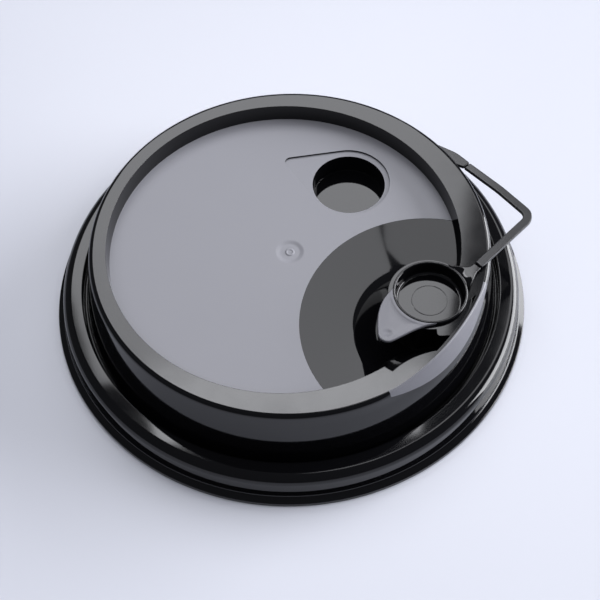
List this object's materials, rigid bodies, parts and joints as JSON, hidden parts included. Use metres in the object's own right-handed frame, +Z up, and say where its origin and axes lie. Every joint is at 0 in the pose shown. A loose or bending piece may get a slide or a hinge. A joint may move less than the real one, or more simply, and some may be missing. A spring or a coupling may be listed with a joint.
{
  "type": "disposable cup lid",
  "caption": "Round press-on lid for a hot drinks cup, with a sunken disc, a fan-shaped drinking recess, a parking well and a drop-shaped stopper on a bent strap.",
  "frame": {"origin": "on the axis of the cup rim, at the plane that the skirt stands on", "axes": "+Z up out of the cup, the drinking hole towards +X and -Y"},
  "size_m": [0.0954, 0.0954, 0.0199],
  "materials": {
    "black_plastic": "gloss, with a satin disc"
  },
  "bodies": {
    "lid": {"lid_body": "black_plastic"},
    "tether": {"strap": "black_plastic"},
    "plug": {"stopper": "black_plastic"}
  },
  "joints": [
    {"name": "strap_lift", "type": "hinge", "parent": "lid", "child": "tether", "pos_m": [0.03594, 0.01796, 0.01835], "axis": [-0.7684, -0.64, 0], "range_deg": [0, 75]},
    {"name": "stopper_level", "type": "hinge", "parent": "tether", "child": "plug", "pos_m": [0.0359, -0.0075, 0.0189], "axis": [-0.7684, -0.64, 0], "range_deg": [-75, 0]}
  ],
  "couplings": [
    {"joint": "stopper_level", "follows": "strap_lift", "ratio": -1}
  ]
}
